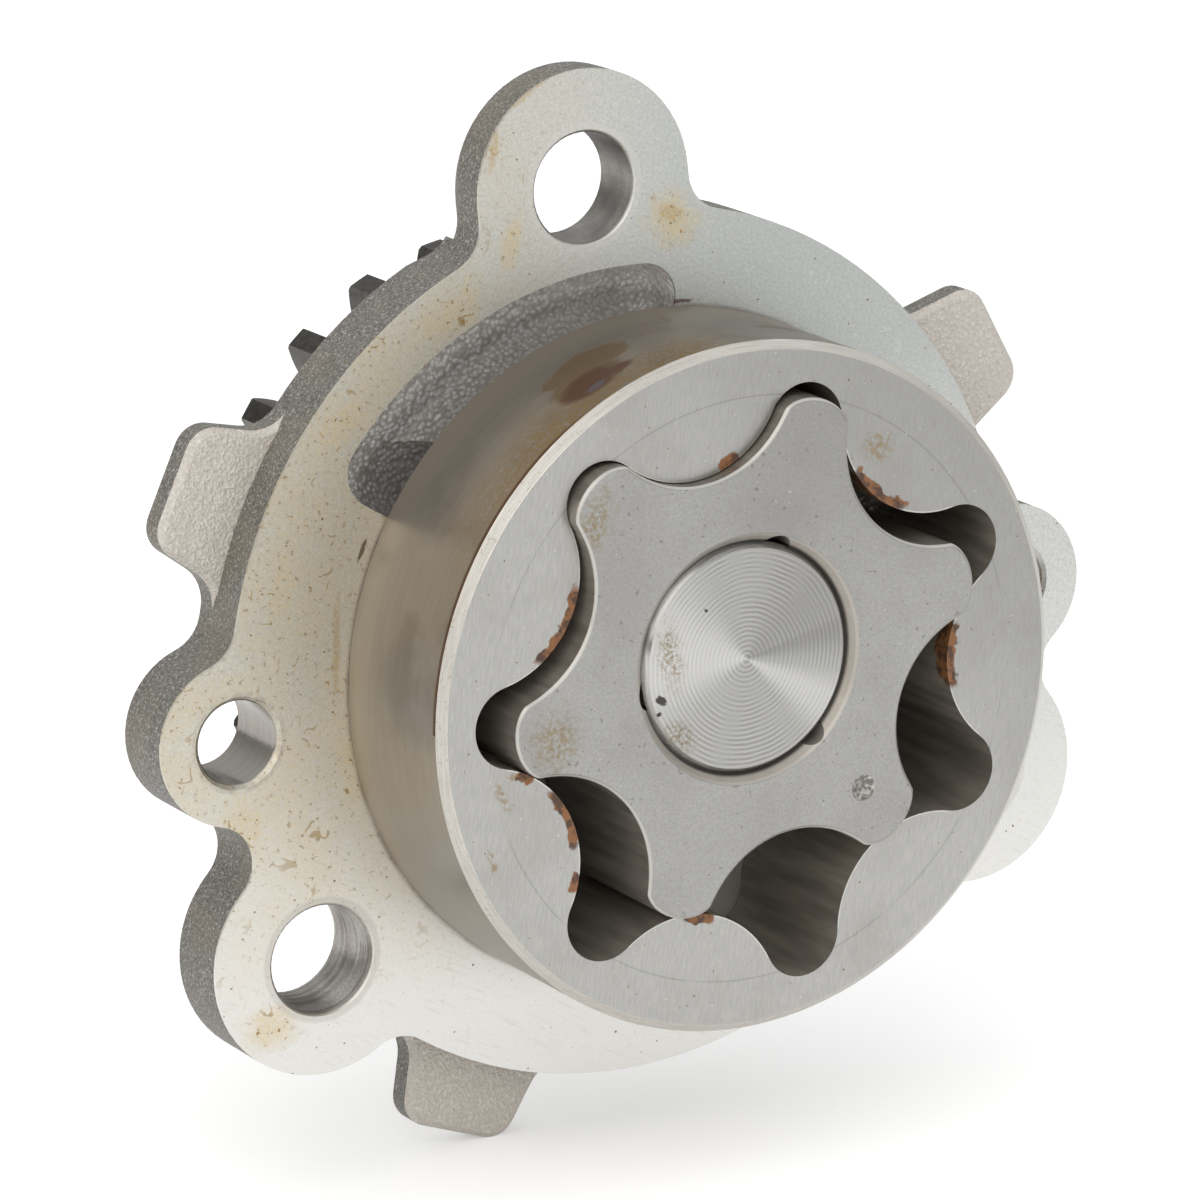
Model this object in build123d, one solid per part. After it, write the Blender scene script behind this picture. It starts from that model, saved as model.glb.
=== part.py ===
from build123d import *
import os
from math import acos, atan2, cos, degrees, hypot, pi, radians, sin, tan

# Internal-gear oil pump: a cast flange carries a bushed drive shaft, with the drive gear behind
# the flange and the inner rotor in front of it. The outer rotor lies on the machined face and
# runs in the engine's own bore, so it has no housing here.
# Every piece is drawn with x to the right, y up and z out of the flange's machined face, from
# the centre of the outer rotor, and FRONT turns it into the part's frame, with +Z up.
FRONT = Plane.XZ

# Rotor set: the outer rotor's teeth are arcs, and the inner rotor is what they sweep out. The
# shares are parts of the outer rotor's radius.
ROTOR_R = 33.0
OUTER_TEETH = 7
TOOTH_CIRCLE_SHARE = 0.9591
TOOTH_ARC_SHARE = 0.3076
ECCENTRICITY_SHARE = 0.1106
SHAFT_AZIMUTH = 109.3
ROTOR_HEIGHT = 17.6
ROTOR_EDGE_CHAMFER = 0.8
ROTOR_MESH_GAP = 0.1
ROOT_CLEARANCE = 0.6
LOBE_EDGE_CHAMFER = 0.3
BORE_CHAMFER = 1.0
BORE_GROOVE_R = 1.5
BORE_GROOVE_DEPTH = 0.9
BORE_GROOVES = 3
TIMING_DOT_R = 1.3
TIMING_DOT_MARGIN = 1.05
TIMING_DOT_DEPTH = 0.7

# Shaft, and how far its end float lets it stand forward with nothing in front of it
SHAFT_R = 11.0
SHAFT_CHAMFER = 0.5
SHAFT_RECESS = 0.5
END_FLOAT = 1.5
RUNNING_CLEARANCE = 0.03
WASHER_CLEARANCE = 0.3
BUSH_WALL = 1.5
BUSH_RECESS = 0.6
BUSH_CHAMFER = 0.4
OIL_GROOVE_WIDTH = 2.0
OIL_GROOVE_DEPTH = 0.5

# Flange casting. An ear's place is the azimuth of its hole about the base's centre, and how far
# the hole's centre lies beyond the base's edge. A lug's is its azimuth and how far it stands out.
FLANGE_THICKNESS = 8.0
ROTOR_SEAT_MARGIN = 0.5
ROTOR_SEAT_DEPTH = 0.05
BASE_CENTRE = (-2.9, 0.7)
BASE_MARGIN = 9.2
CORNER_R = 4.0
CAST_EDGE_BEVEL = 0.6
TOP_EAR_PLACE = (96.3, 2.52)
LOWER_EAR_PLACES = ((218.15, -0.11), (335.05, 0.82))
BOLT_EAR_R = 11.2
BOLT_HOLE_R = 5.25
BOLT_HOLE_CHAMFER = 0.25
DOWEL_EAR_PLACES = ((185.3, -0.52), (0.53, 0.7))
DOWEL_EAR_R = 8.0
DOWEL_BORE_R = 4.0
DOWEL_CHAMFER = 0.45
SPOT_FACE_R = 9.5
SPOT_FACE_DEPTH = 0.4
TOP_EAR_THICKNESS = 6.0
TOP_EAR_RAMP = 6.0
TOP_EAR_EDGE_R = 2.0
TOP_SPOT_FACE_R = 7.4
LUG_SETBACK = 4.5
LUG_HALF_WIDTH = 5.8
LUG_FLARE = 1.6
LUG_CORNER_R = 2.8
LUG_PLACES = ((29.0, 8.6), (156.2, 7.3), (250.6, 7.9))

# Ports cast into the machined face
POCKET_WALL = 5.5
POCKET_SPAN = (81.4, 148.9)
POCKET_CORNER_R = 3.5
PORT_DEPTH = 6.5
INLET_FLOOR_R = 3.2
OUTLET_FLOOR_R = 2.0
PORT_CORNER_R = 3.4
PORT_FLOOR_WALL = 3.5
OUTLET_DEPTH = 3.5
LAND_MARGIN = 1.5

# Bearing boss and ribs behind the flange
BOSS_R = 17.5
BOSS_LENGTH = 8.1
RIB_THICKNESS = 5.0
RIB_INNER_HEIGHT = 5.5
RIB_OUTER_HEIGHT = 0.5

# Drive gear
GEAR_MODULE = 2.5
GEAR_TEETH = 24
PRESSURE_ANGLE = 20.0
GEAR_ADDENDUM = 0.88
GEAR_DEDENDUM = 1.25
GEAR_WIDTH = 12.0
GEAR_PHASE = 147.5
GEAR_EDGE_CHAMFER = 0.4
GEAR_ROOT_FILLET = 0.8
GEAR_HUB_R = 15.0
GEAR_RIM = 3.9
GEAR_WEB = 7.0
THRUST_WASHER_R = 16.0
THRUST_WASHER_THICKNESS = 1.4
THRUST_GAP = 0.1

# Gear seat, key and nut at the rear of the shaft
SEAT_R = 9.0
KEY_WIDTH = 5.0
KEY_HEIGHT = 5.0
KEY_LENGTH = 9.0
KEY_DEPTH = 3.0
KEY_CLEARANCE = 0.2
THREAD_R = 8.0
THREAD_RELIEF = 1.0
WASHER_R = 14.0
WASHER_THICKNESS = 2.5
NUT_ACROSS_FLATS = 24.0
NUT_HEIGHT = 10.0
NUT_CHAMFER = 1.2
THREAD_STANDOUT = 2.5

# Sizes and places that follow from them
TOOTH_CIRCLE_R = TOOTH_CIRCLE_SHARE * ROTOR_R
TOOTH_ARC_R = TOOTH_ARC_SHARE * ROTOR_R
ECCENTRICITY = ECCENTRICITY_SHARE * ROTOR_R
BASE_R = ROTOR_R + BASE_MARGIN
INNER_TEETH = OUTER_TEETH - 1
SHAFT_X = ECCENTRICITY * cos(radians(SHAFT_AZIMUTH))
SHAFT_Y = ECCENTRICITY * sin(radians(SHAFT_AZIMUTH))
INNER_TIP_R = TOOTH_CIRCLE_R - TOOTH_ARC_R + ECCENTRICITY
INNER_ROOT_R = TOOTH_CIRCLE_R - TOOTH_ARC_R - ECCENTRICITY
CAVITY_R = INNER_TIP_R + ECCENTRICITY + ROOT_CLEARANCE - ROTOR_MESH_GAP
INNER_FRONT = ROTOR_HEIGHT + END_FLOAT
SHAFT_FRONT = INNER_FRONT - SHAFT_RECESS
PORT_LAND = 180.0 / OUTER_TEETH
KIDNEY_INNER_R = INNER_ROOT_R + LAND_MARGIN / 2
BUSH_R = SHAFT_R + RUNNING_CLEARANCE + BUSH_WALL
BOSS_END = -FLANGE_THICKNESS - BOSS_LENGTH
GEAR_FRONT = BOSS_END - THRUST_GAP - THRUST_WASHER_THICKNESS
GEAR_REAR = GEAR_FRONT - GEAR_WIDTH
GEAR_PITCH_R = GEAR_MODULE * GEAR_TEETH / 2
GEAR_TIP_R = GEAR_PITCH_R + GEAR_ADDENDUM * GEAR_MODULE
GEAR_BASE_R = GEAR_PITCH_R * cos(radians(PRESSURE_ANGLE))
GEAR_ROOT_R = GEAR_PITCH_R - GEAR_DEDENDUM * GEAR_MODULE
NUT_FRONT = GEAR_REAR - WASHER_THICKNESS
NUT_REAR = NUT_FRONT - NUT_HEIGHT
SHAFT_REAR = NUT_REAR - THREAD_STANDOUT
MESH_AZIMUTH = SHAFT_AZIMUTH + 180.0
OVERSHOOT = 1.0


# Helpers

def polar(radius, azimuth):
    return (radius * cos(radians(azimuth)), radius * sin(radians(azimuth)))


def past_base(azimuth, beyond):
    """Point at an azimuth about the base's centre, so far beyond the base's edge."""
    x, y = polar(BASE_R + beyond, azimuth)
    return (BASE_CENTRE[0] + x, BASE_CENTRE[1] + y)


TOP_EAR = past_base(*TOP_EAR_PLACE)
LOWER_EARS = [past_base(*place) for place in LOWER_EAR_PLACES]
BOLT_EARS = [TOP_EAR] + LOWER_EARS
DOWEL_EARS = [past_base(*place) for place in DOWEL_EAR_PLACES]


def disc(centre, radius):
    return Pos(*centre) * Circle(radius)


def at_shaft(shape):
    return Pos(SHAFT_X, SHAFT_Y) * shape


def wedge(start, end, reach):
    arc = CenterArc((0, 0), reach, start, end - start)
    return make_face([Line((0, 0), arc @ 0), arc, Line(arc @ 1, (0, 0))])


def turned(profile):
    """Solid of revolution about z from (radius, z) points, in order."""
    section = FRONT * make_face(Polyline(*profile, close=True))
    return revolve(section, axis=Axis.Z)


def washer(inner_r, outer_r, top, thickness):
    ring = Circle(outer_r) - Circle(inner_r)
    return Pos(0, 0, top - thickness) * extrude(ring, amount=thickness)


def round_inside(outline, radius):
    return offset(offset(outline, radius), -radius)


def round_outside(outline, radius):
    return offset(offset(outline, -radius), radius)


def edges_at(solid, height):
    return solid.edges().filter_by_position(Axis.Z, height - 0.01, height + 0.01)


# Rotor set

def outer_rotor():
    """Ring with inward tooth arcs, each pair joined by a root arc that is tangent to both."""
    half_pitch = pi / OUTER_TEETH
    reach = 2 * TOOTH_CIRCLE_R * cos(half_pitch)
    root_arc_r = ((CAVITY_R ** 2 + TOOTH_CIRCLE_R ** 2 - TOOTH_ARC_R ** 2 - CAVITY_R * reach)
                  / (2 * TOOTH_ARC_R + 2 * CAVITY_R - reach))
    root_centre_r = CAVITY_R - root_arc_r
    share = TOOTH_ARC_R / (TOOTH_ARC_R + root_arc_r)
    edges = []
    for k in range(OUTER_TEETH):
        azimuth = 360.0 * k / OUTER_TEETH
        tooth = Vector(*polar(TOOTH_CIRCLE_R, azimuth))
        joins = []
        for side in (-1, 1):
            root = Vector(*polar(root_centre_r, azimuth + side * degrees(half_pitch)))
            joins.append(tooth + (root - tooth) * share)
        tip = Vector(*polar(TOOTH_CIRCLE_R - TOOTH_ARC_R, azimuth))
        edges.append(ThreePointArc(joins[0], tip, joins[1]))
        next_tooth = Vector(*polar(TOOTH_CIRCLE_R, azimuth + 2 * degrees(half_pitch)))
        root = Vector(*polar(root_centre_r, azimuth + degrees(half_pitch)))
        far = Vector(*polar(CAVITY_R, azimuth + degrees(half_pitch)))
        edges.append(ThreePointArc(joins[1], far, next_tooth + (root - next_tooth) * share))
    blank = Cylinder(ROTOR_R, ROTOR_HEIGHT, align=(Align.CENTER, Align.CENTER, Align.MIN))
    blank = chamfer(edges_at(blank, ROTOR_HEIGHT), ROTOR_EDGE_CHAMFER)
    cavity = extrude(make_face(edges), amount=ROTOR_HEIGHT + 2 * OVERSHOOT)
    return blank - Pos(0, 0, -OVERSHOOT) * cavity


def inner_point(theta, inset=0.0):
    """Point and direction of the inner rotor's outline: a tooth arc's path, less its radius."""
    shift = radians(MESH_AZIMUTH)
    path = Vector(TOOTH_CIRCLE_R * cos(theta) + ECCENTRICITY * cos(OUTER_TEETH * theta + shift),
                  TOOTH_CIRCLE_R * sin(theta) + ECCENTRICITY * sin(OUTER_TEETH * theta + shift))
    along = Vector(-TOOTH_CIRCLE_R * sin(theta)
                   - OUTER_TEETH * ECCENTRICITY * sin(OUTER_TEETH * theta + shift),
                   TOOTH_CIRCLE_R * cos(theta)
                   + OUTER_TEETH * ECCENTRICITY * cos(OUTER_TEETH * theta + shift)).normalized()
    outward = Vector(along.Y, -along.X)
    return path - outward * (TOOTH_ARC_R + ROTOR_MESH_GAP + inset), along


def inner_outline(inset=0.0):
    """Closed outline of the inner rotor, one spline from root to root for each lobe."""
    lobe_angle = -radians(MESH_AZIMUTH) / INNER_TEETH
    half = pi / INNER_TEETH
    samples = 12
    edges = []
    for k in range(INNER_TEETH):
        centre = lobe_angle + 2 * half * k
        steps = [-1 + (i / samples) ** 2 for i in range(samples + 1)]
        steps += [1 - (i / samples) ** 2 for i in reversed(range(samples))]
        places = [inner_point(centre + half * step, inset) for step in steps]
        edges.append(Spline(*[point for point, _ in places],
                            tangents=[along for _, along in places]))
    return make_face(edges)


def inner_rotor():
    """Lobed rotor pressed on the shaft, with bevelled lobe edges and three grooves in its bore."""
    straight = ROTOR_HEIGHT - 2 * LOBE_EDGE_CHAMFER
    body = Pos(0, 0, LOBE_EDGE_CHAMFER) * extrude(inner_outline(), amount=straight)
    bevel = loft([inner_outline(), Pos(0, 0, LOBE_EDGE_CHAMFER) * inner_outline(LOBE_EDGE_CHAMFER)])
    body += Pos(0, 0, ROTOR_HEIGHT - LOBE_EDGE_CHAMFER) * bevel
    body += Pos(0, 0, LOBE_EDGE_CHAMFER) * mirror(bevel, about=Plane.XY)
    bore = turned([(0, -OVERSHOOT), (SHAFT_R + BORE_CHAMFER + OVERSHOOT, -OVERSHOOT),
                   (SHAFT_R, BORE_CHAMFER), (SHAFT_R, ROTOR_HEIGHT - BORE_CHAMFER),
                   (SHAFT_R + BORE_CHAMFER + OVERSHOOT, ROTOR_HEIGHT + OVERSHOOT),
                   (0, ROTOR_HEIGHT + OVERSHOOT)])
    body -= bore
    lobe_azimuth = -MESH_AZIMUTH / INNER_TEETH
    for k in range(BORE_GROOVES):
        centre = polar(SHAFT_R + BORE_GROOVE_DEPTH - BORE_GROOVE_R,
                       lobe_azimuth + 360.0 * k / BORE_GROOVES)
        groove = extrude(disc(centre, BORE_GROOVE_R), amount=ROTOR_HEIGHT + 2 * OVERSHOOT)
        body -= Pos(0, 0, -OVERSHOOT) * groove
    dot = Cone(0, TIMING_DOT_R, TIMING_DOT_DEPTH, align=(Align.CENTER, Align.CENTER, Align.MAX))
    body -= Pos(*polar(INNER_ROOT_R + TIMING_DOT_MARGIN, lobe_azimuth), ROTOR_HEIGHT) * dot
    return at_shaft(Pos(0, 0, INNER_FRONT - ROTOR_HEIGHT) * body)


# Flange casting

def ear(centre, radius):
    """Round ear with straight sides that run back to the middle of the base."""
    dx = BASE_CENTRE[0] - centre[0]
    dy = BASE_CENTRE[1] - centre[1]
    neck = Rectangle(hypot(dx, dy), 2 * radius, align=(Align.MIN, Align.CENTER))
    return Pos(*centre) * (Circle(radius) + Rot(0, 0, degrees(atan2(dy, dx))) * neck)


def base_and_ears():
    outline = disc(BASE_CENTRE, BASE_R)
    for centre in BOLT_EARS:
        outline += ear(centre, BOLT_EAR_R)
    for centre in DOWEL_EARS:
        outline += ear(centre, DOWEL_EAR_R)
    return outline


def lug(azimuth, standout):
    """Rough cast clamping lug: narrower at its outer end, with round corners."""
    foot = LUG_HALF_WIDTH + LUG_FLARE
    reach = BASE_R + standout
    shape = Polygon((0, -foot), (BASE_R, -foot), (reach, -LUG_HALF_WIDTH),
                    (reach, LUG_HALF_WIDTH), (BASE_R, foot), (0, foot), align=None)
    return Pos(*BASE_CENTRE) * Rot(0, 0, azimuth) * round_outside(shape, LUG_CORNER_R)


def flange_plate():
    """Machined plate with its ears, and the cast layer behind it that carries the lugs."""
    outline = base_and_ears()
    front_depth = (FLANGE_THICKNESS + LUG_SETBACK) / 2
    plate = extrude(round_inside(outline, CORNER_R), amount=-front_depth)
    for place in LUG_PLACES:
        outline += lug(*place)
    layer = extrude(round_inside(outline, CORNER_R), amount=FLANGE_THICKNESS - LUG_SETBACK)
    layer = Pos(0, 0, -FLANGE_THICKNESS) * layer
    rims = edges_at(layer, -FLANGE_THICKNESS) + edges_at(layer, -LUG_SETBACK)
    layer = chamfer(rims, CAST_EDGE_BEVEL)
    plate += layer
    for centre in LOWER_EARS:
        face = extrude(disc(centre, SPOT_FACE_R), amount=-FLANGE_THICKNESS)
        plate -= Pos(0, 0, SPOT_FACE_DEPTH - FLANGE_THICKNESS) * face
    return thin_top_ear(plate)


def thin_top_ear(plate):
    """Cut the rear of the top ear back, round its edge, and ramp the step down to the base."""
    reach = BOLT_EAR_R + OVERSHOOT
    pocket_wall = disc(BASE_CENTRE, BASE_R - POCKET_WALL + PORT_FLOOR_WALL)
    thinned = disc(TOP_EAR, reach) - pocket_wall + disc(TOP_EAR, TOP_SPOT_FACE_R)
    plate -= Pos(0, 0, -TOP_EAR_THICKNESS) * extrude(thinned, amount=-FLANGE_THICKNESS)
    rear_edges = edges_at(plate, -TOP_EAR_THICKNESS)
    plate = fillet(rear_edges.sort_by(Axis.Y)[-1], TOP_EAR_EDGE_R)
    ramp = Pos(0, 0, -FLANGE_THICKNESS) * Cone(
        reach + TOP_EAR_RAMP, reach, FLANGE_THICKNESS - TOP_EAR_THICKNESS,
        align=(Align.CENTER, Align.CENTER, Align.MIN))
    return plate - (Pos(*TOP_EAR) * ramp - extrude(pocket_wall, amount=-FLANGE_THICKNESS))


def inlet_outline():
    """Inlet pocket outside the rotor's edge, and the kidney that it feeds under the chambers."""
    first = SHAFT_AZIMUTH + PORT_LAND
    pocket = Circle(BASE_R - POCKET_WALL) & wedge(POCKET_SPAN[0], POCKET_SPAN[1], BASE_R)
    pocket = Pos(*BASE_CENTRE) * round_outside(pocket, POCKET_CORNER_R)
    pocket -= wedge(0, first, CAVITY_R + LAND_MARGIN)
    pocket -= at_shaft(Circle(KIDNEY_INNER_R))
    return pocket + kidney(first, SHAFT_AZIMUTH + 180.0 - PORT_LAND)


def outlet_outline():
    return kidney(SHAFT_AZIMUTH - 180.0 + PORT_LAND, SHAFT_AZIMUTH - PORT_LAND)


def kidney(first, last):
    """Port under the chambers on one side of the line through both centres."""
    shape = wedge(first, last, CAVITY_R) - at_shaft(Circle(KIDNEY_INNER_R))
    return round_outside(shape, PORT_CORNER_R)


def port_cutter(outline, depth, floor_r):
    cutter = extrude(outline, amount=depth)
    cutter = fillet(edges_at(cutter, 0), floor_r)
    return Pos(0, 0, -depth) * cutter


def rib(centre):
    """Web from the bearing boss out to a bolt ear, low at the ear."""
    dx = centre[0] - SHAFT_X
    dy = centre[1] - SHAFT_Y
    reach = hypot(dx, dy) - SPOT_FACE_R - OVERSHOOT
    rear = -FLANGE_THICKNESS
    side = make_face(Polyline((0, rear + OVERSHOOT), (reach, rear + OVERSHOOT),
                              (reach, rear - RIB_OUTER_HEIGHT),
                              (BOSS_R, rear - RIB_INNER_HEIGHT), (0, rear - RIB_INNER_HEIGHT),
                              close=True))
    web = extrude(FRONT * side, amount=RIB_THICKNESS / 2, both=True)
    return at_shaft(Rot(0, 0, degrees(atan2(dy, dx))) * web)


def pump_flange():
    """The casting: plate, port bulge, bearing boss and ribs, then every bore, hole and port."""
    body = flange_plate()
    bulge = offset(inlet_outline(), PORT_FLOOR_WALL) - disc(TOP_EAR, TOP_SPOT_FACE_R)
    bulge_depth = PORT_DEPTH + PORT_FLOOR_WALL - FLANGE_THICKNESS
    pad = Pos(0, 0, -FLANGE_THICKNESS - bulge_depth) * extrude(bulge, amount=bulge_depth + OVERSHOOT)
    body += chamfer(edges_at(pad, -FLANGE_THICKNESS - bulge_depth), CAST_EDGE_BEVEL)
    boss = at_shaft(Pos(0, 0, BOSS_END) * extrude(Circle(BOSS_R), amount=-BOSS_END - OVERSHOOT))
    body += boss
    for centre in BOLT_EARS:
        body += rib(centre)
    body -= at_shaft(Pos(0, 0, BOSS_END - OVERSHOOT)
                     * extrude(Circle(BUSH_R), amount=2 * OVERSHOOT - BOSS_END))
    for centre in BOLT_EARS:
        body -= Pos(*centre) * chamfered_hole(BOLT_HOLE_R, BOLT_HOLE_CHAMFER)
    for centre in DOWEL_EARS:
        body -= Pos(*centre) * chamfered_hole(DOWEL_BORE_R, DOWEL_CHAMFER)
    body -= port_cutter(inlet_outline(), PORT_DEPTH, INLET_FLOOR_R)
    body -= port_cutter(outlet_outline(), OUTLET_DEPTH, OUTLET_FLOOR_R)
    body -= extrude(Circle(ROTOR_R + ROTOR_SEAT_MARGIN), amount=-ROTOR_SEAT_DEPTH)
    return body


def chamfered_hole(radius, bevel):
    """Cutter for a hole through the plate, bevelled where it meets the machined face."""
    return turned([(0, OVERSHOOT), (radius + bevel + OVERSHOOT, OVERSHOOT), (radius, -bevel),
                   (radius, -FLANGE_THICKNESS - OVERSHOOT), (0, -FLANGE_THICKNESS - OVERSHOOT)])


# Shaft and bush

def shaft_bush():
    """Pressed bush with bevelled ends and an oil groove round the middle of its bore."""
    inner = SHAFT_R + RUNNING_CLEARANCE
    top = -BUSH_RECESS
    bottom = BOSS_END + BUSH_RECESS
    middle = (top + bottom) / 2
    half = OIL_GROOVE_WIDTH / 2
    return at_shaft(turned([
        (inner, bottom), (BUSH_R - BUSH_CHAMFER, bottom), (BUSH_R, bottom + BUSH_CHAMFER),
        (BUSH_R, top - BUSH_CHAMFER), (BUSH_R - BUSH_CHAMFER, top), (inner, top),
        (inner, middle + half), (inner + OIL_GROOVE_DEPTH, middle + half),
        (inner + OIL_GROOVE_DEPTH, middle - half), (inner, middle - half)]))


def drive_shaft():
    """Turned shaft: journal, shoulder, keyed gear seat, thread relief and nut thread."""
    relief_r = THREAD_R - THREAD_RELIEF
    body = turned([
        (0, SHAFT_FRONT), (SHAFT_R - SHAFT_CHAMFER, SHAFT_FRONT),
        (SHAFT_R, SHAFT_FRONT - SHAFT_CHAMFER), (SHAFT_R, GEAR_FRONT), (SEAT_R, GEAR_FRONT),
        (SEAT_R, GEAR_REAR + OVERSHOOT), (relief_r, GEAR_REAR + OVERSHOOT),
        (relief_r, GEAR_REAR - THREAD_RELIEF), (THREAD_R, GEAR_REAR - 2 * THREAD_RELIEF),
        (THREAD_R, SHAFT_REAR + THREAD_RELIEF), (THREAD_R - THREAD_RELIEF, SHAFT_REAR),
        (0, SHAFT_REAR)])
    slot = Box(KEY_WIDTH, KEY_DEPTH + OVERSHOOT, KEY_LENGTH,
               align=(Align.CENTER, Align.MIN, Align.MAX))
    return at_shaft(body - Pos(0, SEAT_R - KEY_DEPTH, key_top()) * slot)


def key_top():
    return GEAR_FRONT - (GEAR_WIDTH - KEY_LENGTH) / 2


# Drive gear and what holds it

def involute(radius):
    angle = acos(GEAR_BASE_R / radius)
    return tan(angle) - angle


def tooth_half_angle(radius):
    at_pitch = pi / (2 * GEAR_TEETH) + involute(GEAR_PITCH_R)
    return degrees(at_pitch - involute(radius))


def gear_tooth():
    """One tooth about the x axis, from inside the root circle to the tip circle."""
    samples = 6
    span = GEAR_TIP_R - GEAR_BASE_R
    radii = [GEAR_BASE_R + span * (i / samples) ** 2 for i in range(samples + 1)]
    upper = [polar(r, tooth_half_angle(r)) for r in radii]
    lower = [polar(r, -tooth_half_angle(r)) for r in radii]
    foot_r = GEAR_ROOT_R - OVERSHOOT
    feet = [polar(foot_r, side * tooth_half_angle(GEAR_BASE_R)) for side in (1, -1)]
    tip = ThreePointArc(upper[-1], (GEAR_TIP_R, 0), lower[-1])
    return make_face([Line(feet[0], upper[0]), Spline(*upper), tip, Spline(*lower),
                      Line(lower[0], feet[1]), Line(feet[1], feet[0])])


def drive_gear():
    """Spur gear turned from a bevelled blank, with a web between hub and rim and a keyed bore."""
    tooth = gear_tooth()
    profile = Circle(GEAR_ROOT_R)
    profile += [Rot(0, 0, GEAR_PHASE + 360.0 * k / GEAR_TEETH) * tooth for k in range(GEAR_TEETH)]
    roots = [v for v in profile.vertices() if hypot(v.X, v.Y) < GEAR_ROOT_R + 0.01]
    profile = fillet(roots, GEAR_ROOT_FILLET)
    body = extrude(profile, amount=GEAR_WIDTH)
    blank = Cylinder(GEAR_TIP_R, GEAR_WIDTH, align=(Align.CENTER, Align.CENTER, Align.MIN))
    body &= chamfer(blank.edges(), GEAR_EDGE_CHAMFER)
    recess = (GEAR_WIDTH - GEAR_WEB) / 2
    ring = extrude(Circle(GEAR_ROOT_R - GEAR_RIM) - Circle(GEAR_HUB_R), amount=recess)
    body -= ring
    body -= Pos(0, 0, GEAR_WIDTH - recess) * ring
    body -= extrude(Circle(SEAT_R), amount=GEAR_WIDTH)
    slot = Box(KEY_WIDTH, SEAT_R - KEY_DEPTH + KEY_HEIGHT + KEY_CLEARANCE, GEAR_WIDTH,
               align=(Align.CENTER, Align.MIN, Align.MIN))
    body -= slot
    return at_shaft(Pos(0, 0, GEAR_REAR) * body)


def gear_key():
    key = Box(KEY_WIDTH, KEY_HEIGHT, KEY_LENGTH, align=(Align.CENTER, Align.MIN, Align.MAX))
    return at_shaft(Pos(0, SEAT_R - KEY_DEPTH, key_top()) * key)


def thrust_washer():
    return at_shaft(washer(SHAFT_R + WASHER_CLEARANCE, THRUST_WASHER_R, BOSS_END,
                           THRUST_WASHER_THICKNESS))


def gear_washer():
    return at_shaft(washer(THREAD_R + WASHER_CLEARANCE, WASHER_R, GEAR_REAR, WASHER_THICKNESS))


def gear_nut():
    """Hexagon nut with both ends turned down to a cone at the corners."""
    hexagon = RegularPolygon(NUT_ACROSS_FLATS / 2, 6, major_radius=False)
    body = extrude(hexagon, amount=NUT_HEIGHT)
    corner_r = NUT_ACROSS_FLATS / 2 / cos(pi / 6)
    flat_r = NUT_ACROSS_FLATS / 2
    body &= turned([(0, 0), (flat_r, 0), (corner_r, NUT_CHAMFER),
                    (corner_r, NUT_HEIGHT - NUT_CHAMFER), (flat_r, NUT_HEIGHT), (0, NUT_HEIGHT)])
    body -= extrude(Circle(THREAD_R), amount=NUT_HEIGHT)
    return at_shaft(Pos(0, 0, NUT_REAR) * body)


NODES = {
    "pump_flange": pump_flange,
    "shaft_bush": shaft_bush,
    "drive_shaft": drive_shaft,
    "inner_rotor": inner_rotor,
    "outer_rotor": outer_rotor,
    "thrust_washer": thrust_washer,
    "drive_gear": drive_gear,
    "gear_key": gear_key,
    "gear_washer": gear_washer,
    "gear_nut": gear_nut,
}

os.makedirs("parts", exist_ok=True)
for node, build in NODES.items():
    export_step(FRONT * build(), f"parts/{node}.step")
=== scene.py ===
# %% [markdown]
# # An engine oil pump
# The pump is a cast flange that bolts to an engine. A shaft runs through it, with a gear behind
# the flange and a six-lobed rotor in front. That rotor turns inside a seven-toothed ring, and the
# spaces between them grow and shrink as they turn, which moves the oil. The solid shapes come
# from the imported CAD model. This lesson gives each of them the finish of its real metal, adds the
# thread that the CAD model leaves out, and lights and frames the pump as in a catalogue picture.

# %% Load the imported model
import math

import bmesh
import bpy
from mathutils import Matrix, Vector


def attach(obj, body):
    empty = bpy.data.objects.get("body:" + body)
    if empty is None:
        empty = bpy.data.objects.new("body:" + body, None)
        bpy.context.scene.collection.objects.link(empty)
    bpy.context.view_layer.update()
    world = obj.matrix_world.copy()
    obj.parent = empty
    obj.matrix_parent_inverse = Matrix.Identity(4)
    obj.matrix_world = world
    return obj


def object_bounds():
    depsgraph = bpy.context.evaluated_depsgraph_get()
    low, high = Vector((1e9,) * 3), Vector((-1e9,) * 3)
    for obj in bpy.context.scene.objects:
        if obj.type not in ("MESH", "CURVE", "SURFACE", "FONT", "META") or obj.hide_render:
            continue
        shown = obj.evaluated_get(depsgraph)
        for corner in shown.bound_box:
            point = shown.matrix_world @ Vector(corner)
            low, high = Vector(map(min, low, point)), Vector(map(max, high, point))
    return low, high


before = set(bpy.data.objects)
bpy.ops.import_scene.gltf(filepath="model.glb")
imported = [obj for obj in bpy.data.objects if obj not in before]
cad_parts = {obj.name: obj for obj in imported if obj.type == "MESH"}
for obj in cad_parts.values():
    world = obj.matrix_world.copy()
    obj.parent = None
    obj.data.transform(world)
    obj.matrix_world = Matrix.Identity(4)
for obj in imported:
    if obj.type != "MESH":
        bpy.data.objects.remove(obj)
cad_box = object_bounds()
print("CAD nodes:", sorted(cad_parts))
print("CAD box, mm:", [[round(1000 * v, 1) for v in corner] for corner in cad_box])

# %% [markdown]
# Everything is measured in millimetres on the bench and in metres in Blender, so one constant
# turns one into the other. The pump faces -Y: a point on the flange's face is (x, 0, z), and the
# end faces of the two rotors lie at a negative y. The shaft sits a little off the centre of the
# outer rotor, which is what makes the pump work.

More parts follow.
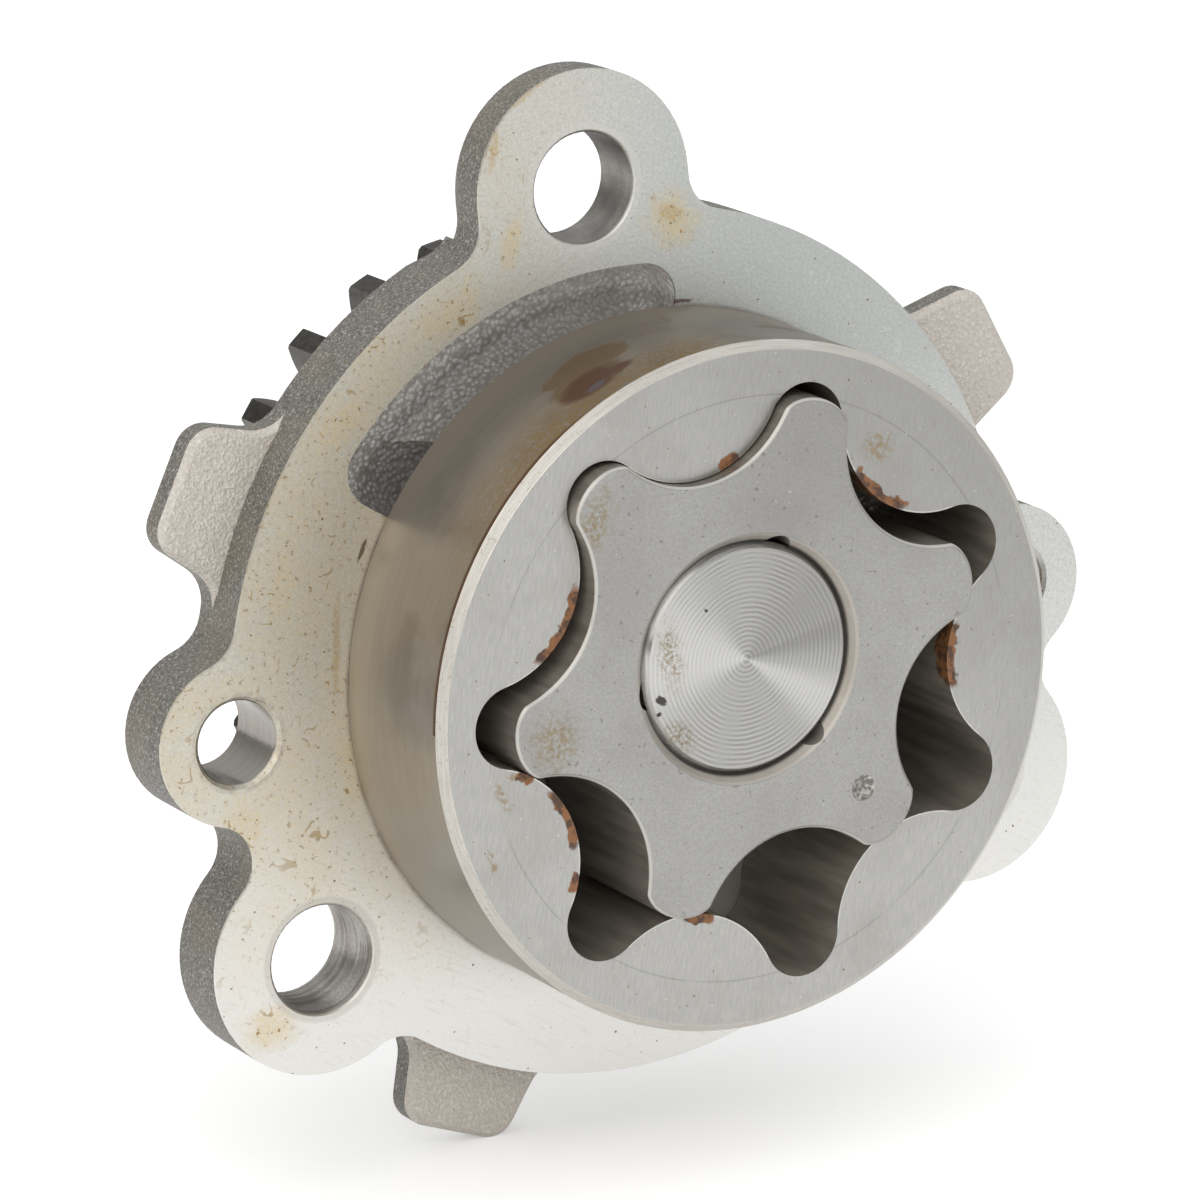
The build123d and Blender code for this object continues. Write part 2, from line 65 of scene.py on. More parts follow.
# %% Sizes that the finishes follow
MM = 0.001
SHAFT_OFFSET = 3.65 * MM
SHAFT_AZIMUTH = math.radians(109.3)
SHAFT_AT = (SHAFT_OFFSET * math.cos(SHAFT_AZIMUTH), 0.0, SHAFT_OFFSET * math.sin(SHAFT_AZIMUTH))
SHAFT_R = 11.0
ROTOR_R = 33.0
RING_FACE = -17.6
INNER_FACE = -19.1
BOLT_HOLES = ((-7.8, 45.15), (-36.0, -25.3), (36.1, -17.45))
BOLT_HOLE_R = 5.25
BOLT_RIM_R = 5.9
DOWEL_BORES = ((-44.4, -3.15), (40.0, 1.1))
DOWEL_R = 4.0
DOWEL_RIM_R = 4.7
print("Shaft axis, mm:", [round(v / MM, 3) for v in SHAFT_AT])

# %% [markdown]
# A shader is a small machine of nodes. One helper adds a node, sets its options, and either
# links or sets each of its inputs, so a finish can be read from top to bottom as a recipe.
# Colours are written as the hex values a paint chart would use and turned to linear light once.

# %% One helper for nodes, one for colour, one for pattern size
def add(tree, kind, options=(), inputs=(), output=0):
    """Add a shader node and return one of its outputs."""
    node = tree.nodes.new("ShaderNode" + kind)
    for name, value in dict(options).items():
        setattr(node, name, value)
    for name, value in dict(inputs).items():
        if isinstance(value, bpy.types.NodeSocket):
            tree.links.new(value, node.inputs[name])
        else:
            node.inputs[name].default_value = value
    return node.outputs[output]


def linear(hex_colour):
    """sRGB hex to the linear RGBA that Blender's sockets take."""
    channels = [int(hex_colour[i:i + 2], 16) / 255 for i in (1, 3, 5)]
    return tuple(c / 12.92 if c <= 0.04045 else ((c + 0.055) / 1.055) ** 2.4
                 for c in channels) + (1.0,)


def per(size_mm):
    """Texture scale at which one feature of a pattern measures size_mm."""
    return 1.0 / (size_mm * MM)


# %% [markdown]
# Most marks on metal are masks: a value between 0 and 1 that says where something lies. A mask
# usually starts as a distance or a noise, which is then cut off between two values. The small
# helpers below make the masks that several finishes share. The picture shows nothing finer than
# about a tenth of a millimetre, so the grain of each metal is drawn coarser than life, at a few
# tenths of a millimetre.

# %% Masks
def cut(tree, value, low, high):
    """Soft threshold: 0 at low and 1 at high, whichever of the two is larger."""
    first, last = (0.0, 1.0) if low < high else (1.0, 0.0)
    return add(tree, "MapRange", {"interpolation_type": "SMOOTHSTEP"},
               {"Value": value, "From Min": min(low, high), "From Max": max(low, high),
                "To Min": first, "To Max": last})


def cut_mm(tree, value, low, high):
    """The same threshold for a length, with its two limits in millimetres."""
    return cut(tree, value, low * MM, high * MM)


def both(tree, first, second, operation="MULTIPLY"):
    """Two values joined by arithmetic, by default their product."""
    return add(tree, "Math", {"operation": operation}, {0: first, 1: second})


def tint(tree, share, under, over):
    """Lay one colour over another where a mask says so. Sockets 6 and 7 take colours."""
    return add(tree, "Mix", {"data_type": "RGBA"}, {0: share, 6: under, 7: over}, output=2)


def coat(tree, under, mask, strength, hex_colour):
    """Lay one flat colour over another where a mask says so, at most at the given strength."""
    return tint(tree, both(tree, mask, strength), under, linear(hex_colour))


def between(tree, share, low, high):
    """Number that goes from low to high with a mask."""
    return add(tree, "Mix", {}, {0: share, 2: low, 3: high})


def noise(tree, where, size_mm, detail=2.0, roughness=0.5):
    """Noise whose broadest features measure size_mm."""
    return add(tree, "TexNoise", {}, {"Vector": where, "Scale": per(size_mm), "Detail": detail,
                                      "Roughness": roughness})


def brushed(tree, where, size_mm, stretch, turn_deg):
    """Noise drawn out along one direction of the pump's face, as a grinder leaves it."""
    turned = add(tree, "Mapping", {"vector_type": "TEXTURE"},
                 {"Vector": where, "Rotation": (0.0, math.radians(turn_deg), 0.0)})
    drawn = add(tree, "Mapping", {}, {"Vector": turned, "Scale": (1.0, 1.0, 1.0 / stretch)})
    return noise(tree, drawn, size_mm, 3.0, 0.6)


def axis_parts(tree, where):
    """The separate x, y and z of a vector."""
    parts = add(tree, "SeparateXYZ", {}, {"Vector": where}).node
    return parts.outputs[0], parts.outputs[1], parts.outputs[2]


def distance_from(tree, where, x, z):
    """Distance in metres from a line along Y through (x, z) in millimetres."""
    flat = add(tree, "VectorMath", {"operation": "MULTIPLY"}, {0: where, 1: (1.0, 0.0, 1.0)})
    return add(tree, "VectorMath", {"operation": "DISTANCE"},
               {0: flat, 1: (x * MM, 0.0, z * MM)}, output="Value")


def turned_grain(tree, where, radius, y, size_mm):
    """Noise that runs in rings round an axis along Y, and changes slowly along each ring."""
    profile = add(tree, "CombineXYZ", {}, {0: radius, 1: y})
    drift = add(tree, "VectorMath", {"operation": "SCALE"}, {0: where, "Scale": 0.04})
    joined = add(tree, "VectorMath", {"operation": "ADD"}, {0: profile, 1: drift})
    return noise(tree, joined, size_mm, 3.0, 0.6)


def pressed_flank(tree, where, light):
    """Tooth flank with soft streaks along the rotors' axis, as the pressing die leaves them."""
    drawn = add(tree, "Mapping", {}, {"Vector": where, "Scale": (1.0, 0.12, 1.0)})
    streaks = cut(tree, noise(tree, drawn, 1.4, 3.0), 0.3, 0.74)
    return tint(tree, streaks, linear("#837D74"), linear(light))


def ovals(tree, where, layer, marks, ragged, size_mm, soft=0.3):
    """Ragged oval marks. Each is x, z and two half sizes in millimetres and a turn in degrees.
    The layer says at which y they lie and how far they reach to either side of it."""
    wobble = both(tree, both(tree, noise(tree, where, size_mm, 4.0, 0.65), 0.5, "SUBTRACT"), ragged)
    depth, reach = layer
    mask = None
    for x, z, half_x, half_z, turn_deg in marks:
        inside = add(tree, "Mapping", {"vector_type": "TEXTURE"},
                     {"Vector": where, "Location": (x * MM, depth * MM, z * MM),
                      "Rotation": (0.0, math.radians(turn_deg), 0.0),
                      "Scale": (half_x * MM, reach * MM, half_z * MM)})
        away = add(tree, "VectorMath", {"operation": "LENGTH"}, {0: inside}, output="Value")
        mark = cut(tree, both(tree, away, wobble, "ADD"), 1.0, 1.0 - soft)
        mask = mark if mask is None else both(tree, mask, mark, "MAXIMUM")
    return mask


# %% [markdown]
# Every finish starts and ends the same way: a new material whose patterns are measured on the
# object itself, and a CAD node that takes it in each of its material slots.

# %% Start a finish, finish a shader, dress a node
def blank_finish(name):
    """A new metal, its node tree, and the coordinates that its patterns are measured in."""
    material = bpy.data.materials.new(name)
    material.use_nodes = True
    tree = material.node_tree
    tree.nodes["Principled BSDF"].inputs["Metallic"].default_value = 1.0
    return material, tree, add(tree, "TexCoord", output="Object")


def raised(tree, height, depth_mm, under=None):
    """Bump whose full height is depth_mm, on top of another one if there is one."""
    inputs = {"Height": height, "Strength": 1.0, "Distance": depth_mm * MM}
    if under is not None:
        inputs["Normal"] = under
    return add(tree, "Bump", {}, inputs)


def wire(tree, **sockets):
    """Link each value to the shader's socket of that name."""
    shader = tree.nodes["Principled BSDF"]
    for name, value in sockets.items():
        tree.links.new(value, shader.inputs[name.replace("_", " ")])


def dress(node_name, material):
    """Give a CAD node the material in each of its slots."""
    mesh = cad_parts[node_name].data
    if not mesh.materials:
        mesh.materials.append(material)
    for slot in range(len(mesh.materials)):
        mesh.materials[slot] = material
    print(node_name, "->", material.name)


# %% [markdown]
# The flange is one grey-iron casting with three kinds of skin. Its front was milled flat: pale,
# matt, with a thin amber film of old oil that is thickest on the left, and painted reflection
# makes it lighter low down and duller at the top right. The bores were drilled. All the rest is
# sand-cast: its walls are dark with tiny bright specks, the lugs' fronts are pale and grainy with
# painted glints, and the pocket's pebbles carry painted highlights, with painted shade next to
# the drum. One material holds all of it, because where each lies follows from the shape: the
# distance from a hole's axis, the depth behind the face, and which way the surface faces. The
# tones of a bolt hole are the dark and the light of its wall and the light of its rim, and after
# them comes the size of its drill marks.

# %% Where the flange was machined, and the marks on it
POCKET_CENTRE = (-2.9, 0.7)
POCKET_R = 36.7
POCKET_REACH = 7.0
MILLED_DEPTH = 0.32
BOSS_END = 16.1
BOLT_HOLE_TONES = (("#716E69", "#A5A29C", "#DAD8D2", 6.0), ("#7A736B", "#CFCBC5", "#BEB9B3", 0.5),
                   ("#7A736B", "#B5B2AC", "#C6C3BD", 0.5))
FLANGE_LAYER = (0.0, 3.0)
OIL_FILM = ((-39.5, 12, 4.0, 9, 14), (-33.5, 26, 4.5, 8, 44), (-23, 34.5, 8, 4, -28),
            (-44, -11, 5, 6, 10), (-41.5, -31, 5, 3.5, 0), (1.6, 41.2, 4.6, 3.6, 25),
            (-15.5, 41, 1.8, 6, 15), (-33, -7, 3, 12, -12))
OIL_STREAKS = ((-34.2, 4.8, 0.6, 5.8, 2), (-13.6, 55.0, 4.6, 0.8, -36), (1.4, 42.0, 2.0, 1.0, 20),
               (-17.4, 49.5, 0.6, 2.6, 10))
BURNT_OIL = ((1.7, 33.35, 3.0, 0.3, 1), (-31.4, 13.6, 0.25, 1.3, 24))


def machined_mask(tree, where, y):
    """The front 0.3 mm, the end of the bearing boss, and whatever lies inside a hole's rim."""
    front = cut_mm(tree, y, MILLED_DEPTH + 0.04, MILLED_DEPTH - 0.04)
    mask = both(tree, front, cut_mm(tree, y, BOSS_END - 0.2, BOSS_END - 0.1), "MAXIMUM")
    rims = [(hole, BOLT_RIM_R) for hole in BOLT_HOLES] + [(bore, DOWEL_RIM_R) for bore in DOWEL_BORES]
    for (x, z), rim in rims:
        inside = cut_mm(tree, distance_from(tree, where, x, z), rim, rim - 0.1)
        mask = both(tree, mask, inside, "MAXIMUM")
    return mask


# %% The milled face
def fibres(tree, where, size_mm, width, broken_mm):
    """Short curved hairs: thin contour lines of one noise, broken up by another."""
    wave = both(tree, noise(tree, where, size_mm, 1.0), 0.5, "SUBTRACT")
    line = cut(tree, add(tree, "Math", {"operation": "ABSOLUTE"}, {0: wave}), width, 0.4 * width)
    return both(tree, line, cut(tree, noise(tree, where, broken_mm, 1.0), 0.6, 0.64))


def milled_iron(tree, where, x, z):
    """Pale milled iron with faint mill marks, painted lighter low down and duller at the top right as
    painted reflection.
    """
    grain = noise(tree, where, 0.3, 3.0, 0.65)
    colour = tint(tree, cut(tree, grain, 0.36, 0.64), linear("#C6C8C5"), linear("#D8D9D6"))
    # Painted reflection: the milled face is painted lighter low down.
    lit_low = cut_mm(tree, z, 12.0, -36.0)
    colour = coat(tree, colour, lit_low, 0.72, "#F6F4F0")
    # Painted reflection: the milled face is painted duller at the top right.
    dull = both(tree, cut_mm(tree, x, -12.0, 14.0), cut_mm(tree, z, 12.0, 30.0))
    colour = coat(tree, colour, dull, 0.4, "#9FA5A3")
    arcs = brushed(tree, where, 0.3, 14.0, -62.0)
    colour = coat(tree, colour, cut(tree, arcs, 0.56, 0.7), 0.14, "#8F928D")
    return colour, grain


def oil_film(tree, where, x, z):
    """How thick the old oil lies on the milled face."""
    left = both(tree, cut_mm(tree, x, 6.0, -36.0), cut_mm(tree, z, -36.0, -10.0))
    cloud = cut(tree, noise(tree, where, 7.0, 4.0, 0.6), 0.3, 0.62)
    film = both(tree, left, between(tree, cloud, 0.55, 1.0))
    marks = ovals(tree, where, FLANGE_LAYER, OIL_FILM, 1.4, 3.0, soft=0.9)
    return both(tree, both(tree, film, 0.75), marks, "MAXIMUM")


def milled_colour(tree, where, x, z):
    """The milled face with its oil, hairs, pits, burnt oil and painted contact shade, and how much film
    there is.
    """
    colour, grain = milled_iron(tree, where, x, z)
    film = oil_film(tree, where, x, z)
    speckle = cut(tree, noise(tree, where, 0.42, 3.0, 0.7), 0.4, 0.62)
    colour = tint(tree, both(tree, film, between(tree, speckle, 0.34, 0.66)), colour, linear("#E3CE9C"))
    streak = ovals(tree, where, FLANGE_LAYER, OIL_STREAKS, 1.2, 1.6, soft=0.7)
    colour = tint(tree, both(tree, streak, between(tree, speckle, 0.3, 0.6)), colour, linear("#BF9F60"))
    tan_hairs = both(tree, fibres(tree, where, 2.6, 0.022, 2.4), between(tree, film, 0.06, 0.8))
    colour = tint(tree, tan_hairs, colour, linear("#A8874A"))
    flecks = cut(tree, noise(tree, where, 0.6, 3.0, 0.7), 0.6, 0.63)
    flecks = both(tree, flecks, between(tree, film, 0.06, 0.9))
    colour = tint(tree, flecks, colour, linear("#9C7A40"))
    pale_hairs = fibres(tree, where, 2.1, 0.03, 1.3)
    colour = coat(tree, colour, pale_hairs, 0.16, "#F0EDE4")
    pits = cut(tree, noise(tree, where, 0.42, 0.0), 0.81, 0.84)
    colour = coat(tree, colour, pits, 0.85, "#6D5843")
    glints = cut(tree, noise(tree, where, 0.36, 1.0), 0.29, 0.25)
    colour = coat(tree, colour, glints, 0.6, "#EAE8E1")
    # Burnt oil, with painted contact shade along the drum's foot.
    return tint(tree, both(tree, grime_and_shade(tree, where), 0.8), colour, linear("#5B4633")), film, grain


def grime_and_shade(tree, where):
    """Burnt oil and painted shade: a thin dark line round the drum's foot that is burnt oil and painted
    contact shade, two spots, and a ring at the left dowel bore.
    """
    radius = distance_from(tree, where, 0.0, 0.0)
    # Painted contact shade and burnt oil: the thin line where the drum meets the face.
    foot = both(tree, cut_mm(tree, radius, ROTOR_R + 0.4, ROTOR_R + 0.1),
                cut_mm(tree, radius, ROTOR_R - 0.1, ROTOR_R))
    broken = cut(tree, noise(tree, where, 5.0, 2.0), 0.36, 0.6)
    foot = both(tree, foot, between(tree, broken, 0.55, 1.0))
    spots = ovals(tree, where, FLANGE_LAYER, BURNT_OIL, 1.6, 1.0, soft=0.4)
    left_bore = distance_from(tree, where, *DOWEL_BORES[0])
    ring = both(tree, cut_mm(tree, left_bore, 5.1, 4.5), cut_mm(tree, left_bore, 4.1, 4.2))
    ring = both(tree, ring, cut(tree, noise(tree, where, 0.8, 3.0), 0.3, 0.6))
    spots = both(tree, spots, both(tree, ring, 0.3), "MAXIMUM")
    return both(tree, both(tree, foot, 0.5), spots, "MAXIMUM")


# %% The bores
def bored_colour(tree, where, y, colour):
    """Bolt holes are drilled, the top one darkest. Dowel bores are reamed and smoother."""
    grit = cut(tree, noise(tree, where, 0.28, 3.0, 0.7), 0.36, 0.64)
    for (x, z), (dark, light, rim_light, drill_mm) in zip(BOLT_HOLES, BOLT_HOLE_TONES):
        radius = distance_from(tree, where, x, z)
        colour = coat(tree, colour, cut_mm(tree, radius, BOLT_RIM_R + 0.4, BOLT_RIM_R), 0.4, rim_light)
        rings = turned_grain(tree, where, radius, y, drill_mm)
        stain = cut(tree, both(tree, rings, noise(tree, where, 4.0, 2.0), "ADD"), 0.7, 1.3)
        stain = both(tree, stain, between(tree, grit, 0.6, 1.0))
        wall = cut_mm(tree, radius, BOLT_HOLE_R + 0.13, BOLT_HOLE_R + 0.05)
        colour = tint(tree, wall, colour, tint(tree, stain, linear(dark), linear(light)))
    rings = noise(tree, add(tree, "CombineXYZ", {}, {0: y}), 0.6, 3.0)
    reamed = tint(tree, cut(tree, rings, 0.3, 0.7), linear("#96918A"), linear("#A29D95"))
    return tint(tree, dowel_wall(tree, where), colour, reamed)


def dowel_wall(tree, where):
    """The walls of the two dowel bores."""
    left, right = [cut_mm(tree, distance_from(tree, where, x, z), DOWEL_R + 0.15, DOWEL_R + 0.05)
                   for x, z in DOWEL_BORES]
    return both(tree, left, right, "MAXIMUM")


# %% The cast skin
def cast_skin(tree, where, x, y, forward):
    """Colour and relief of the sand-cast surfaces, and where the pebbled pocket is."""
    pocket = cut_mm(tree, distance_from(tree, where, *POCKET_CENTRE), POCKET_R + 0.2, POCKET_R + 0.1)
    pocket = both(tree, pocket, cut_mm(tree, y, POCKET_REACH + 0.2, POCKET_REACH))
    grit = noise(tree, where, 0.34, 2.0, 0.6)
    lug = tint(tree, cut(tree, grit, 0.3, 0.62), linear("#D6CFC6"), linear("#E4DDD4"))
    # Painted glints: the lightest grains on the lug fronts.
    lug = tint(tree, cut(tree, grit, 0.58, 0.7), lug, linear("#F6F1E9"))
    fine = noise(tree, where, 0.26, 2.0, 0.65)
    wall = tint(tree, cut(tree, fine, 0.38, 0.56), linear("#625F5A"), linear("#83807A"))
    wall = tint(tree, cut(tree, fine, 0.57, 0.68), wall, linear("#BDBAB3"))
    patches = cut(tree, noise(tree, where, 6.0, 3.0), 0.42, 0.7)
    wall = coat(tree, wall, patches, 0.3, "#8E8570")
    spread = add(tree, "TexVoronoi", {"feature": "SMOOTH_F1"},
                 {"Vector": where, "Scale": per(0.46), "Detail": 0.0, "Smoothness": 0.4})
    pebbles = both(tree, 1.0, spread, "SUBTRACT")
    # Painted highlights: the pebbles' tops are painted white.
    floor_tone = tint(tree, cut(tree, pebbles, 0.32, 0.8), linear("#CECAC4"), linear("#FFFFFF"))
    # Painted highlight: the pocket is painted lighter toward its right end.
    right_end = cut_mm(tree, x, -14.0, -4.0)
    floor_tone = coat(tree, floor_tone, right_end, 0.35, "#FFFDF9")
    # Painted shade: the pocket is painted darker next to the drum.
    drum_shade = cut_mm(tree, distance_from(tree, where, 0.0, 0.0), ROTOR_R + 1.8, ROTOR_R + 0.2)
    floor_tone = coat(tree, floor_tone, drum_shade, 0.5, "#4F4A45")
    colour = tint(tree, pocket, tint(tree, forward, wall, lug), floor_tone)
    relief = between(tree, forward, both(tree, fine, 0.4), both(tree, grit, 0.9))
    return colour, between(tree, pocket, relief, both(tree, pebbles, 0.55)), pocket


# %% The flange's material
def milled_and_cast_iron():
    """The whole flange: cast skin, and milled or bored metal where it was machined."""
    material, tree, where = blank_finish("grey_iron_milled_and_sand_cast")
    x, y, z = axis_parts(tree, where)
    facing = add(tree, "TexCoord", output="Normal")
    forward = add(tree, "Math", {"operation": "ABSOLUTE"}, {0: axis_parts(tree, facing)[1]})
    forward = cut(tree, forward, 0.3, 0.8)
    machined = machined_mask(tree, where, y)
    milled, film, grain = milled_colour(tree, where, x, z)
    milled = bored_colour(tree, where, y, milled)
    cast, relief, pocket = cast_skin(tree, where, x, y, forward)
    relief = both(tree, relief, both(tree, 1.0, machined, "SUBTRACT"))
    normal = raised(tree, relief, 0.3)
    normal = raised(tree, both(tree, grain, machined), 0.014, normal)
    rough = between(tree, machined, between(tree, pocket, 0.5, 0.3), 0.42)
    rough = both(tree, rough, both(tree, both(tree, film, machined), 0.1), "ADD")
    metal = between(tree, machined, between(tree, pocket, 0.15, 0.2), 0.85)
    rough = between(tree, dowel_wall(tree, where), rough, 0.2)
    wire(tree, Base_Color=tint(tree, machined, cast, milled), Roughness=rough,
         Metallic=metal, Normal=normal)
    return material


dress("pump_flange", milled_and_cast_iron())

# %% [markdown]
# The outer rotor is a sintered steel ring. Its end face was ground flat and shows a fine grain
# and one faint scribed circle. Its outside was ground as it turned, so that grain runs round it.
# Old oil has dried to a granular brown film on its shoulder, with one thick dark patch that ends
# in a drop, and rust has crept in from the tooth edges where they rub. Two measures place these
# marks: the side of the drum laid out flat, and how far a point of the face lies inside a tooth's
# edge.

# %% Marks on the outer rotor
RING_TEETH = 7
TOOTH_CIRCLE_R = 31.65
TOOTH_ARC_R = 10.15
BEVEL_R = 32.2
BEVEL_REAR = -16.8
SCRIBED_R = 28.0
RING_LAYER = (RING_FACE, 2.5)
DRUM_LAYER = (0.0, 1.0)
TIP_RUST = ((22.0, 0.6, 1.6, 3.6, 0), (14.0, 17.6, 3.8, 1.8, 34), (-2.6, 22.0, 1.3, 1.2, 0),
            (-20.6, 8.7, 2.2, 4.4, 27), (-20.1, -9.6, 1.6, 3.4, -28), (-19.2, -15.6, 1.0, 1.1, 0),
            (-24.2, -5.0, 1.1, 0.8, 0), (-5.6, -21.2, 1.9, 1.2, 0))
FACE_STAINS = ((13.6, 21.6, 2.4, 2.0, 0), (-26.6, -6.4, 0.8, 2.4, -30), (-25.4, -4.6, 1.2, 0.7, -30),
               (-27.6, -12.6, 0.6, 2.0, -20))
FILM_PATCH = ((64.5, -8.2, 5.6, 3.0, 3), (66.3, -11.4, 4.4, 3.8, 10))
DARK_PATCH = ((66.6, -12.2, 4.0, 2.7, 12), (63.6, -12.6, 2.2, 1.0, 8))
ROUND_DROP = ((66.6, -13.4, 1.3, 0.75, 10),)
OIL_TRAILS = ((55.4, -5.2, 0.4, 1.9, 40), (53.5, -4.5, 0.35, 1.6, -8), (57.0, -7.2, 0.4, 1.8, 0),
              (44.6, -9.8, 3.6, 1.1, 12))
SHOULDER_BLOB = ((108.0, -16.0, 1.6, 0.9, 0),)


def inside_tooth(tree, where):
    """How deep a point lies inside the edge of the nearest tooth, found by folding all into one."""
    x, _, z = axis_parts(tree, where)
    turn = add(tree, "Math", {"operation": "ARCTAN2"}, {0: z, 1: x})
    half_pitch = math.pi / RING_TEETH
    folded = add(tree, "Math", {"operation": "WRAP"}, {0: turn, 1: half_pitch, 2: -half_pitch})
    radius = distance_from(tree, where, 0.0, 0.0)
    across = both(tree, radius, add(tree, "Math", {"operation": "COSINE"}, {0: folded}))
    along = both(tree, radius, add(tree, "Math", {"operation": "SINE"}, {0: folded}))
    place = add(tree, "CombineXYZ", {}, {0: across, 2: along})
    return both(tree, TOOTH_ARC_R * MM, distance_from(tree, place, TOOTH_CIRCLE_R, 0.0), "SUBTRACT")


def laid_flat(tree, where):
    """The drum's side unrolled: the way round it as x, counted from +X, and y as z."""
    x, y, z = axis_parts(tree, where)
    turn = add(tree, "Math", {"operation": "ARCTAN2"}, {0: z, 1: x})
    return add(tree, "CombineXYZ", {}, {0: both(tree, turn, ROTOR_R * MM), 2: y})


# %% End face of the ring
def ring_face(tree, where, radius, depth):
    """Ground steel with a scribed circle, painted duller to the upper right as painted reflection, and
    tooth edges that are rubbed and painted lighter as a highlight.
    """
    scratches = brushed(tree, where, 0.2, 8.0, 10.0)
    colour = tint(tree, cut(tree, scratches, 0.3, 0.7), linear("#ACABA8"), linear("#B9B8B4"))
    cloud = cut(tree, noise(tree, where, 9.0, 3.0), 0.45, 0.7)
    colour = coat(tree, colour, cloud, 0.25, "#96948F")
    x, _, z = axis_parts(tree, where)
    # Painted reflection: the face is painted duller toward the upper right.
    dull = cut_mm(tree, both(tree, x, z, "ADD"), 4.0, 44.0)
    colour = coat(tree, colour, dull, 0.45, "#8B8A87")
    circle = both(tree, cut_mm(tree, radius, SCRIBED_R - 0.14, SCRIBED_R - 0.02),
                  cut_mm(tree, radius, SCRIBED_R + 0.12, SCRIBED_R))
    worn = cut(tree, noise(tree, where, 7.0, 2.0), 0.36, 0.56)
    colour = tint(tree, both(tree, circle, both(tree, worn, 0.28)), colour, linear("#5F5C57"))
    stain = ovals(tree, where, RING_LAYER, FACE_STAINS, 1.6, 0.8, soft=0.8)
    stain = both(tree, stain, cut(tree, noise(tree, where, 0.5, 3.0), 0.38, 0.6))
    colour = coat(tree, colour, stain, 0.7, "#937D58")
    specks = cut(tree, noise(tree, where, 0.42, 0.0), 0.81, 0.84)
    colour = coat(tree, colour, specks, 0.75, "#7E6650")
    glints = cut(tree, noise(tree, where, 0.36, 1.0), 0.28, 0.24)
    colour = coat(tree, colour, glints, 0.5, "#D9D8D4")
    # Tooth edges: rubbed, and painted lighter as a painted highlight.
    edge = both(tree, cut_mm(tree, depth, 0.16, 0.1), cut_mm(tree, depth, -0.12, -0.04))
    edge = both(tree, edge, cut_mm(tree, radius, 26.6, 26.2))
    return coat(tree, colour, edge, 0.5, "#E6E3DB"), scratches


# %% Side of the ring
def ring_side(tree, where, y, z, radius):
    """The drum's side: ground rings, painted shade and reflection, granular oil, and the thick patch with
    its trails.
    """
    flat = laid_flat(tree, where)
    rings = turned_grain(tree, where, radius, y, 0.3)
    colour = tint(tree, cut(tree, rings, 0.3, 0.7), linear("#A29B91"), linear("#ABA49A"))
    cloud = cut(tree, noise(tree, where, 8.0, 3.0), 0.4, 0.66)
    # Painted shade: a darker cloudy band on the drum's side.
    side_shade = both(tree, cut_mm(tree, y, -2.0, -10.0), cut_mm(tree, z, -14.0, 8.0))
    colour = tint(tree, both(tree, side_shade, between(tree, cloud, 0.2, 0.6)), colour, linear("#6F6860"))
    # Painted reflection of the pale face: the drum is painted lighter near the flange, low down.
    foot = both(tree, cut_mm(tree, y, -5.5, -1.0), cut_mm(tree, z, -26.0, -10.0))
    colour = coat(tree, colour, foot, 0.45, "#C2B6A4")
    # Painted shade: the drum's side is painted darker toward the bottom.
    low = cut_mm(tree, z, 2.0, -24.0)
    colour = coat(tree, colour, low, 0.55, "#7F786D")
    round_x = axis_parts(tree, flat)[0]
    shoulder = both(tree, cut_mm(tree, y, -8.5, -16.0), cut_mm(tree, round_x, 50.0, 58.0))
    shoulder = both(tree, shoulder, cut_mm(tree, round_x, 100.0, 70.0))
    dirt = both(tree, shoulder, cut(tree, noise(tree, where, 0.42, 4.0, 0.75), 0.41, 0.5))
    colour = coat(tree, colour, dirt, 0.85, "#937749")
    patch = ovals(tree, flat, DRUM_LAYER, FILM_PATCH, 0.6, 2.4, soft=0.25)
    colour = coat(tree, colour, patch, 0.85, "#5E4622")
    trails = ovals(tree, flat, DRUM_LAYER, OIL_TRAILS, 0.4, 1.6, soft=0.5)
    patch = both(tree, patch, trails, "MAXIMUM")
    colour = coat(tree, colour, trails, 0.6, "#5A3D1E")
    dark = ovals(tree, flat, DRUM_LAYER, DARK_PATCH, 0.5, 1.8, soft=0.45)
    colour = coat(tree, colour, dark, 0.85, "#4C240A")
    drop = ovals(tree, flat, DRUM_LAYER, ROUND_DROP, 0.2, 1.0, soft=0.35)
    colour = tint(tree, drop, colour, linear("#54484A"))
    line = both(tree, cut_mm(tree, y, -16.2, -16.45), cut_mm(tree, round_x, 66.0, 76.0))
    line = both(tree, line, cut(tree, noise(tree, where, 2.4, 3.0, 0.6), 0.28, 0.4))
    blob = ovals(tree, flat, DRUM_LAYER, SHOULDER_BLOB, 0.5, 1.0, soft=0.3)
    line = both(tree, line, blob, "MAXIMUM")
    colour = coat(tree, colour, line, 0.9, "#5F3F28")
    return colour, rings, both(tree, patch, both(tree, dark, drop, "ADD"), "ADD")


